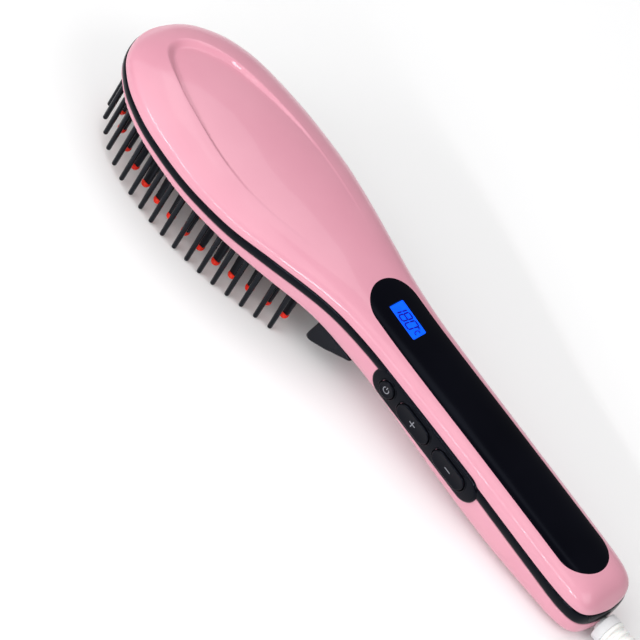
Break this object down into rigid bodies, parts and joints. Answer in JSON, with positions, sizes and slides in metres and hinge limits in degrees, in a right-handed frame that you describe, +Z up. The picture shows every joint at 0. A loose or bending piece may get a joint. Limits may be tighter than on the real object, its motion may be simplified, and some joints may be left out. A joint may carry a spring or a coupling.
{
  "type": "heated hair straightener brush",
  "caption": "Heated hair straightening brush: domed oval head, guard bristles round heated teeth, display on the handle, push buttons on its side and a mains lead on a swivel.",
  "frame": {"origin": "on the surface that the brush lies on, under the middle of the brush with its strain relief, cord left out", "axes": "+X from the head towards the cord, +Y across the brush away from the buttons, +Z up, away from the bristles"},
  "size_m": [0.4212, 0.0999, 0.0448],
  "materials": {
    "pink_gloss": "gloss moulded plastic",
    "black_gloss": "high gloss moulded plastic",
    "lcd_blue": "lit display window",
    "black_matte": "matt moulded plastic",
    "black_satin": "satin heat-proof plastic",
    "circuit_board": "coated glass-fibre board",
    "screw_steel": "zinc plated",
    "coated_metal": "dark ceramic coating on aluminium",
    "heat_proof_cap": "satin silicone",
    "heater_aluminium": "plain sheet",
    "ceramic": "fired ceramic",
    "mica": "pressed mica sheet",
    "wire_sleeve": "silicone sleeve",
    "white_plastic": "polished",
    "white_rubber": "satin PVC",
    "plug_metal": "nickel plated brass"
  },
  "bodies": {
    "root": {"top_shell": "pink_gloss", "bottom_shell": "pink_gloss", "trim_band": "black_gloss", "display_panel": "black_gloss", "lcd_display": "lcd_blue", "button_pod": "black_gloss", "tact_switches": "black_matte", "key_board": "circuit_board", "main_board": "circuit_board", "board_screws": "screw_steel", "triac_module": "black_matte", "comb_plate": "black_satin", "guard_bristles": "black_satin", "heating_teeth": "coated_metal", "tooth_tips": "heat_proof_cap", "heater_plate": "heater_aluminium", "ptc_heaters": "ceramic", "mica_sheet": "mica", "heater_clamp": "heater_aluminium", "clamp_screws": "screw_steel", "thermal_fuse": "ceramic", "ntc_sensor": "ceramic", "neck_guard": "black_satin", "housing_screws": "screw_steel", "heater_wires": "wire_sleeve", "mains_wires": "wire_sleeve", "swivel_socket": "black_matte", "power_cord": "white_rubber", "cord_tail": "white_rubber", "cord_coil": "white_rubber", "cord_tie": "black_matte", "plug_body": "white_rubber", "plug_pins": "plug_metal"},
    "power_key": {"power_button": "black_gloss", "power_switch_plunger": "black_matte"},
    "plus_key": {"plus_button": "black_gloss", "plus_switch_plunger": "black_matte"},
    "minus_key": {"minus_button": "black_gloss", "minus_switch_plunger": "black_matte"},
    "cord_gland": {"cord_swivel": "white_plastic", "strain_relief": "white_rubber"}
  },
  "joints": [
    {"name": "power_press", "type": "slide", "parent": "root", "child": "power_key", "axis": [0, 1, 0], "range_m": [0, 0.0006], "stiffness_N_per_m": 1500, "springref_m": -0.0002},
    {"name": "plus_press", "type": "slide", "parent": "root", "child": "plus_key", "axis": [0, 1, 0], "range_m": [0, 0.0006], "stiffness_N_per_m": 1500, "springref_m": -0.0002},
    {"name": "minus_press", "type": "slide", "parent": "root", "child": "minus_key", "axis": [0, 1, 0], "range_m": [0, 0.0006], "stiffness_N_per_m": 1500, "springref_m": -0.0002},
    {"name": "cord_turn", "type": "hinge", "parent": "root", "child": "cord_gland", "pos_m": [0.1125, 0, 0.0062], "axis": [1, 0, 0], "continuous": true}
  ]
}
